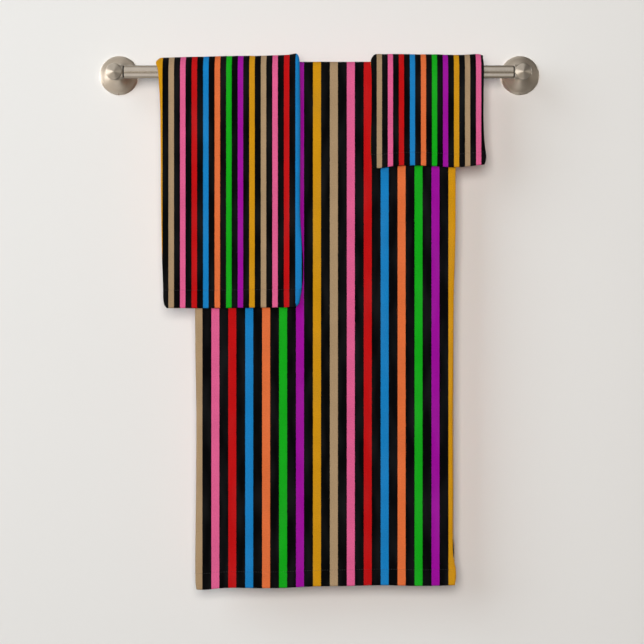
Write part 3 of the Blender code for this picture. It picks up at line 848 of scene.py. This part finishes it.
class TOWELSET_OT_stage(Operator):
    """Make the wall, the floor, the lights and the camera"""
    bl_idname = "towel_set.stage"
    bl_label = "Stage"

    CAMERA = (0.052, -3.55, -0.2727)
    LENS = 132.4
    SENSOR = 36.0
    SHIFT = (-0.05, -0.10)
    WALL_SIZE = 3.2
    FLOOR_LEVEL = -1.05
    FLOOR_SIZE = 14.0
    FLOOR_GLOW = 0.93           # keeps the floor pale beyond the lights' reach
    FLOOR_LIT = 0.05            # share of its paint that takes their light
    KEY = ((-2.4, -2.6, 0.95), (2.8, 2.8))
    KEY_TINT = (0.82, 0.93, 1.0)
    FILL = ((-0.10, -4.6, 0.10), (1.1, 1.3))
    FILL_TINT = (1.0, 0.937, 0.881)
    BACKS = (((-1.6, 2.2, 0.7), (1.8, 1.8)), ((1.8, 2.4, 0.3), (1.8, 1.8)))
    AIM = (0.0, 0.0, -0.36)

    # The mirrored room: how bright its parts are, and where each begins and ends along the
    # direction looked in.
    DIM_BAND = 0.17             # how far below level it is dimmest
    HAZE, ROOM_TOP, WINDOW, FAR_SIDE = 0.45, 0.80, 2.5, 0.30
    WALL_DIM, WALL_DIM_RIGHT = 0.45, 0.40
    CORNER_BELOW, CORNER_ABOVE = 0.60, 0.97
    OVERHEAD, RIGHT_HALF, WALLWARDS = (0.04, 0.62), (-0.14, 0.10), (-0.40, 0.30)
    CORNER, CORNER_LOW, CORNER_HIGH = (0.06, 0.26), (0.05, 0.30), (0.0, 0.18)
    SIDEWAYS, WINDOW_HEIGHT, FAR_HEIGHT = (0.20, 0.50), (0.10, 0.34), (0.08, 0.30)
    WARM = (1.0, 0.90, 0.76)
    DAYLIGHT = (1.0, 0.985, 0.955)
    SOFT_WHITE = (1.0, 0.985, 0.96)

    def light(self, name, place, size, power, tint=(1.0, 1.0, 1.0)):
        lamp = bpy.data.lights.new(name, "AREA")
        lamp.shape = "RECTANGLE"
        lamp.size, lamp.size_y = size
        lamp.energy = power
        lamp.color = tint
        made = bpy.data.objects.new(name, lamp)
        made.location = place
        aim = Vector(self.AIM) - Vector(place)
        made.rotation_euler = aim.to_track_quat("-Z", "Y").to_euler()
        bpy.context.scene.collection.objects.link(made)
        return made

    def plane(self, name, corners, finish):
        mesh = bpy.data.meshes.new(name)
        mesh.from_pydata(corners, [], [(0, 1, 2, 3)])
        made = into_scene(name, mesh, [finish])
        return made

    def wall_paint(self, tone):
        """Matt rolled paint, seen only from the room."""
        finish = Finish("wall_paint")
        place = finish.place()
        roller = finish.grain(place, 260.0)
        cloud = finish.grain(place, 1.4)
        paint = linear(tone)
        shade = finish.mix(0.05 * cloud, paint, dimmed(paint, 0.9))
        return finish.surface(one_sided=True, Base_Color=shade, Roughness=0.9,
                              Specular_IOR_Level=0.1,
                              Normal=finish.relief(roller, 0.08 * MM, strength=0.4))

    def floor_finish(self, tone):
        """Pale floor that glows evenly, seen only from above."""
        finish = Finish("floor_finish")
        cloud = finish.grain(finish.place(), 3.0, detail=4.0)
        base = linear(tone)
        shade = finish.mix(0.10 * cloud, base, dimmed(base, 0.8))
        dim = finish.mix(1.0 - self.FLOOR_LIT, shade, BLACK)
        return finish.surface(one_sided=True, Base_Color=dim, Roughness=0.8 + 0.1 * cloud,
                              Specular_IOR_Level=0.1, Emission_Color=shade,
                              Emission_Strength=self.FLOOR_GLOW)

    def pale_room(self, stage):
        """Even light from all round, and a pale room that only shows in the metal."""
        sky = Finish("pale_room", "worlds")
        x, y, z = sky.parts(sky.place(output=0))
        gloss = sky.node("ShaderNodeLightPath", output=3)
        seen = sky.node("ShaderNodeLightPath", output=0)
        off_level, to_left, to_floor = sky.size_of(z), -1.0 * x, -1.0 * z
        overhead = sky.step(sky.size_of(z + self.DIM_BAND), *self.OVERHEAD)
        right = sky.step(x, *self.RIGHT_HALF)
        wall_dim = self.WALL_DIM + self.WALL_DIM_RIGHT * right
        before_wall = 1.0 - wall_dim * sky.step(y, *self.WALLWARDS)
        haze = self.HAZE - self.HAZE * right
        corner = sky.step(x, *self.CORNER) * (
            self.CORNER_BELOW * sky.step(to_floor, *self.CORNER_LOW)
            + self.CORNER_ABOVE * sky.step(z, *self.CORNER_HIGH))
        window = sky.step(to_left, *self.SIDEWAYS) * (
            1.0 - sky.step(off_level, *self.WINDOW_HEIGHT))
        far_side = sky.step(x, *self.SIDEWAYS) * (1.0 - sky.step(off_level, *self.FAR_HEIGHT))
        room = (haze + (self.ROOM_TOP - haze) * overhead) * before_wall * (1.0 - corner)
        mirrored = stage.ceiling * (room + self.WINDOW * window + self.FAR_SIDE * far_side)
        strength = stage.ambient + mirrored * gloss + stage.backdrop * seen
        tone = sky.mix(overhead * before_wall + window, self.WARM, self.DAYLIGHT)
        light = sky.node("ShaderNodeBackground", None,
                         {"Color": sky.mix(gloss, self.SOFT_WHITE, tone), "Strength": strength})
        sky.node("ShaderNodeOutputWorld", None, {"Surface": light})
        return sky.made

    def execute(self, context):
        stage = context.scene.towel_set.stage
        w, y, low, far = self.WALL_SIZE, TOUCH, self.FLOOR_LEVEL, self.FLOOR_SIZE
        wall = self.plane("wall", [(-w, y, low), (w, y, low), (w, y, w), (-w, y, w)],
                          self.wall_paint(stage.wall))
        floor = self.plane("floor", [(-far, -far, low), (far, -far, low), (far, far, low),
                                     (-far, far, low)], self.floor_finish(stage.floor))
        key = self.light("key_light", *self.KEY, stage.key_power, self.KEY_TINT)
        fill = self.light("fill_light", *self.FILL, stage.fill_power, self.FILL_TINT)
        for made in (wall, floor, key, fill):
            made.visible_glossy = False
        wall.visible_shadow = False
        floor.visible_diffuse = False
        for i, back in enumerate(self.BACKS):
            self.light(f"back_light_{i + 1}", *back, stage.back_power)
        context.scene.world = self.pale_room(stage)
        context.scene.view_settings.view_transform = "Standard"
        lens = bpy.data.cameras.new("camera")
        lens.lens = self.LENS
        lens.sensor_width = self.SENSOR
        lens.shift_x, lens.shift_y = self.SHIFT
        camera = bpy.data.objects.new("camera", lens)
        camera.location = self.CAMERA
        camera.rotation_euler = (math.pi / 2, 0.0, 0.0)
        context.scene.collection.objects.link(camera)
        context.scene.camera = camera
        return {"FINISHED"}


class TOWELSET_OT_rail(Operator):
    """Make the bar, the two posts with their collars and the two rosettes"""
    bl_idname = "towel_set.rail"
    bl_label = "Rail"

    BAR_WALL = 1.2 * MM
    BAR_BRUSHING = 0.8          # the drawn bar is brushed less strongly than the turned parts
    GROOVE = 1.3 * MM           # groove where the bar enters a collar, its faces painted dark as shadow
    GROOVE_DEPTH = 0.8 * MM
    DOME_STEPS, DOME_POWER = 24, 1.12   # the head's front is nearly a flat cone
    # painted light: the rosettes' plating is made a quarter lighter than the posts' and the bar's,
    # though all are one nickel
    ROSETTE_PAINTED_LIGHT = 1.25
    EDGE_BREAK = 0.4 * MM       # small bevel on turned corners
    COLLAR_SOFT = 0.35 * MM

    def bar(self, finish, shadow):
        r, inner, half = BAR_RADIUS, BAR_RADIUS - self.BAR_WALL, BAR_HALF
        groove = RAIL_HALF - COLLAR_END - self.GROOVE
        low = r - self.GROOVE_DEPTH
        side = [(low, half), (low, groove), (r, groove - self.GROOVE_DEPTH / 2)]
        profile = side + [(radius, -height) for radius, height in reversed(side)]
        profile += [(inner, -half), (inner, half)]
        made = turned("bar", profile, True, [finish, shadow], BAR_AXIS, (0.0, math.pi / 2, 0.0))
        # painted shadow: faces in the groove take the dark groove_shadow finish
        for face in made.data.polygons:
            if abs(face.center.z) > groove - self.GROOVE_DEPTH / 2:
                face.material_index = 1
        self.tie(made, "rail_bar")

    def tie(self, made, *nodes):
        """Ties a piece to the rail, in place of the frame's nodes if any are named."""
        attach(made, "rail")
        if nodes:
            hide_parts(*nodes)

    def post(self, side, sign, finish):
        """Domed head, waisted neck, foot and spigot turned in one piece."""
        foot = ROSETTE_HEIGHT + TOUCH
        head = -BAR_AXIS.y
        back, front = head - HEAD_RADIUS, head + HEAD_RADIUS
        cove = (HEAD_RADIUS - HEAD_EDGE - NECK_RADIUS, (back - foot) * 0.55)
        spigot = foot - WEB_THICKNESS + TOUCH
        profile = [(0, spigot), (SPIGOT_RADIUS, spigot), (SPIGOT_RADIUS, foot),
                   (NECK_RADIUS - self.EDGE_BREAK, foot), (NECK_RADIUS, foot + self.EDGE_BREAK)]
        profile += arc((NECK_RADIUS + cove[0], back - cove[1]), *cove, 180, 90, 24)
        edge = HEAD_RADIUS - HEAD_EDGE
        profile += arc((edge, back + HEAD_EDGE), HEAD_EDGE, HEAD_EDGE, -60, 0, 8)
        profile += arc((edge, front - HEAD_EDGE), HEAD_EDGE, HEAD_EDGE, 0, 70, 8)
        brow, brow_height = profile[-1]
        for outwards in (1 - i / self.DOME_STEPS for i in range(1, self.DOME_STEPS + 1)):
            climbed = 1 - outwards ** self.DOME_POWER
            profile.append((brow * outwards,
                            brow_height + (front + HEAD_DOME - brow_height) * climbed))
        centre = Vector((sign * RAIL_HALF, 0.0, 0.0))
        made = turned(f"{side}_turned_post", profile, False, [finish], centre, FACING_ROOM)
        axis = centre + BAR_AXIS
        bore(made, BAR_RADIUS + TOUCH, COLLAR_END - SOCKET_DEPTH, COLLAR_END + HEAD_RADIUS, axis,
             along_bar(sign), steps=96)
        bore(made, THREAD_RADIUS, 0.0, foot - WEB_THICKNESS + THREAD_DEPTH, centre, FACING_ROOM)
        self.tie(made, f"{side}_post")
        outer, inner = BAR_RADIUS + COLLAR_WALL, BAR_RADIUS + TOUCH
        deep, soft = COLLAR_END - SOCKET_DEPTH + 0.2 * MM, self.COLLAR_SOFT
        ring = [(inner, deep), (outer, deep), (outer, COLLAR_END - soft)]
        ring += arc((outer - soft, COLLAR_END - soft), soft, soft, 0, 90, 4)[1:]
        ring += [(inner + 0.2 * MM, COLLAR_END), (inner, COLLAR_END - 0.2 * MM)]
        self.tie(turned(f"{side}_collar", ring, True, [finish], axis, along_bar(sign)))

    def rosette(self, side, sign, finish):
        """Trumpet-shaped cover with a flat ring on the wall and a rounded rim."""
        flare = ROSETTE_RADIUS - RIM_ROUND[0]
        flare_foot = RIM_HEIGHT + RIM_ROUND[1]
        pocket = ROSETTE_RADIUS - RIM_LAND
        rise = ROSETTE_HEIGHT - flare_foot
        bore_radius = SPIGOT_RADIUS + TOUCH
        profile = [(ROSETTE_RADIUS - 0.3 * MM, 0.0), (ROSETTE_RADIUS, 0.3 * MM)]
        profile += arc((flare, RIM_HEIGHT), *RIM_ROUND, 0, 90, 20)
        profile += arc((flare, ROSETTE_HEIGHT), flare - NECK_RADIUS, rise, 270, 181, 40)[1:]
        profile += [(NECK_RADIUS, ROSETTE_HEIGHT - self.EDGE_BREAK),
                    (NECK_RADIUS - self.EDGE_BREAK, ROSETTE_HEIGHT),
                    (bore_radius, ROSETTE_HEIGHT), (bore_radius, ROSETTE_HEIGHT - WEB_THICKNESS)]
        width, height = flare - NECK_RADIUS + ROSETTE_WALL, rise + ROSETTE_WALL
        web_angle = math.degrees(math.asin(WEB_THICKNESS / height))
        land_angle = math.degrees(math.asin(min(1.0, (pocket - flare) / width)))
        profile += arc((flare, ROSETTE_HEIGHT), width, height, 180 + web_angle,
                       270 + land_angle, 24)
        profile += [(pocket, 0.0)]
        centre = Vector((sign * RAIL_HALF, 0.0, 0.0))
        made = turned(f"{side}_trumpet_rosette", profile, True, [finish], centre, FACING_ROOM)
        bore(made, GRUB_HOLE_RADIUS, pocket - RIM_LAND, ROSETTE_RADIUS * 1.2,
             centre + Vector((0, -GRUB_OFF_WALL, 0)), (math.pi, 0, 0))
        self.tie(made, f"{side}_rosette")

    def execute(self, context):
        metal = context.scene.towel_set.metal
        bar, post, rosette = (
            brushed_nickel(f"{part}_nickel", metal, roughness, brushing, painted_brightening)
            for part, roughness, brushing, painted_brightening in (
                ("bar", metal.bar_roughness, self.BAR_BRUSHING * metal.brushing, 1.0),
                ("post", metal.post_roughness, metal.brushing, 1.0),
                ("rosette", metal.rosette_roughness, metal.brushing, self.ROSETTE_PAINTED_LIGHT)))
        self.bar(bar, plated_steel("groove_shadow", metal.blackened, 0.6, 900.0))
        for side, sign in (("left", -1), ("right", 1)):
            self.post(side, sign, post)
            self.rosette(side, sign, rosette)
        return {"FINISHED"}


class TOWELSET_OT_fixings(Operator):
    """Give the brackets and screws behind the rosettes their finishes"""
    bl_idname = "towel_set.fixings"
    bl_label = "Fixings"

    def execute(self, context):
        metal = context.scene.towel_set.metal
        zinc = plated_steel("zinc_plate", metal.zinc, 0.32, 260.0)
        steel = plated_steel("screw_steel_finish", metal.screw_steel, 0.38, 700.0)
        blackened = plated_steel("blackened_steel", metal.blackened, 0.5, 900.0)
        for side in ("left", "right"):
            for part, finish in (("wall_bracket", zinc), ("post_screw", steel),
                                 ("grub_screw", blackened), ("upper_wall_screw", steel),
                                 ("lower_wall_screw", steel)):
                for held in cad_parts[f"{side}_{part}"].material_slots:
                    held.material = finish
        return {"FINISHED"}


class TOWELSET_OT_bath_towel(Operator):
    """Hang the bath towel on the bar"""
    bl_idname = "towel_set.bath_towel"
    bl_label = "Bath towel"

    LEFT = ((-0.757, -0.1790), (-0.750, -0.1800), (-0.733, -0.1804), (-0.690, -0.1802),
            (-0.590, -0.1792), (-0.500, -0.1790), (-0.400, -0.1805), (-0.250, -0.1808),
            (-0.100, -0.1806), (0.0, -0.1810), (0.022, -0.1815))
    RIGHT = ((-0.757, 0.1988), (-0.748, 0.2003), (-0.735, 0.1999), (-0.714, 0.1961),
             (-0.690, 0.1956), (-0.626, 0.1956), (-0.480, 0.1955), (-0.392, 0.1963),
             (-0.334, 0.1970), (-0.243, 0.1995), (-0.158, 0.1998), (-0.080, 0.1997),
             (0.0, 0.1995), (0.022, 0.1992))
    HEM = ((-0.182, -0.7572), (-0.170, -0.7578), (-0.145, -0.7558), (-0.057, -0.7552),
           (0.000, -0.7528), (0.030, -0.7523), (0.090, -0.7511), (0.155, -0.7522),
           (0.200, -0.7509))
    CROWN = ((-0.182, 0.0146), (0.0, 0.0148), (0.200, 0.0146))
    SEAM = 23.3 * MM
    FOLD_LEFT = True

    def execute(self, context):
        settings = context.scene.towel_set
        hang("bath_towel", settings.bath, settings.dye, self, "bath_terry")
        return {"FINISHED"}


class TOWELSET_OT_hand_towel(Operator):
    """Hang the hand towel over the left of the bath towel"""
    bl_idname = "towel_set.hand_towel"
    bl_label = "Hand towel"

    LEFT = ((-0.345, -0.2215), (-0.341, -0.2243), (-0.336, -0.2256), (-0.319, -0.2262),
            (-0.272, -0.2279), (-0.188, -0.2294), (-0.100, -0.2300), (-0.042, -0.2312),
            (-0.012, -0.2330), (0.006, -0.2350), (0.012, -0.2370), (0.018, -0.2368),
            (0.026, -0.2335), (0.034, -0.2303))
    RIGHT = ((-0.345, -0.0322), (-0.341, -0.0287), (-0.333, -0.0268), (-0.200, -0.0270),
             (-0.042, -0.0268), (0.0, -0.0274), (0.020, -0.0281), (0.034, -0.0305))
    HEM = ((-0.236, -0.3463), (-0.220, -0.3460), (-0.180, -0.3460), (-0.110, -0.3454),
           (-0.043, -0.3446), (-0.027, -0.3441))
    CROWN = ((-0.240, 0.0205), (-0.215, 0.0212), (-0.190, 0.0219), (-0.160, 0.0225),
             (-0.120, 0.0236), (-0.090, 0.0236), (-0.050, 0.0246), (-0.036, 0.0243),
             (-0.0295, 0.0255), (-0.0262, 0.0250))
    SEAM = 25.7 * MM
    FOLD_LEFT = False

    def execute(self, context):
        settings = context.scene.towel_set
        hang("hand_towel", settings.hand, settings.dye, self, "hand_terry")
        return {"FINISHED"}


class TOWELSET_OT_washcloth(Operator):
    """Hang the washcloth over the right of the bath towel"""
    bl_idname = "towel_set.washcloth"
    bl_label = "Washcloth"

    LEFT = ((-0.141, 0.0785), (-0.134, 0.0776), (-0.050, 0.0774), (0.0, 0.0771),
            (0.020, 0.0762), (0.036, 0.0800))
    RIGHT = ((-0.140, 0.2413), (-0.132, 0.2438), (-0.126, 0.2440), (-0.118, 0.2428),
             (-0.078, 0.2402), (-0.042, 0.2401), (0.0147, 0.2404), (0.036, 0.2390))
    HEM = ((0.077, -0.1408), (0.0875, -0.1417), (0.103, -0.1394), (0.170, -0.1386),
           (0.198, -0.1404), (0.2125, -0.1398), (0.233, -0.1373), (0.244, -0.1362))
    CROWN = ((0.076, 0.0234), (0.083, 0.0252), (0.096, 0.0260), (0.120, 0.0261),
             (0.145, 0.0258), (0.175, 0.0257), (0.193, 0.0250), (0.208, 0.0248),
             (0.222, 0.0256), (0.234, 0.0262), (0.240, 0.0252))
    SEAM = 18.5 * MM
    FOLD_LEFT = True

    def execute(self, context):
        settings = context.scene.towel_set
        hang("washcloth", settings.wash, settings.dye, self, "wash_terry")
        return {"FINISHED"}


PIECES = (TOWELSET_OT_stage, TOWELSET_OT_rail, TOWELSET_OT_fixings, TOWELSET_OT_bath_towel,
          TOWELSET_OT_hand_towel, TOWELSET_OT_washcloth)


class TOWELSET_PT_panel(Panel):
    """Lists the pieces of the towel set"""
    bl_idname = "TOWELSET_PT_panel"
    bl_label = "Bath Towel Set"
    bl_space_type = "VIEW_3D"
    bl_region_type = "UI"
    bl_category = "Towels"

    def draw(self, context):
        settings = context.scene.towel_set
        for piece in PIECES:
            self.layout.operator(piece.bl_idname)
        for group in ("bath", "hand", "wash", "dye", "metal", "stage"):
            values = getattr(settings, group)
            column = self.layout.column(align=True)
            for name in values.__annotations__:
                column.prop(values, name)


CLASSES = (BathTowelSettings, HandTowelSettings, WashclothSettings, DyeSettings, MetalSettings,
           StageSettings, TowelSetSettings, *PIECES, TOWELSET_PT_panel)


def register():
    for made in CLASSES:
        bpy.utils.register_class(made)
    bpy.types.Scene.towel_set = PointerProperty(type=TowelSetSettings)


def unregister():
    del bpy.types.Scene.towel_set
    for made in reversed(CLASSES):
        bpy.utils.unregister_class(made)


def main():
    register()
    bpy.ops.towel_set.stage()
    bpy.ops.towel_set.rail()
    bpy.ops.towel_set.fixings()
    bpy.ops.towel_set.bath_towel()
    bpy.ops.towel_set.hand_towel()
    bpy.ops.towel_set.washcloth()


if __name__ == "__main__":
    main()
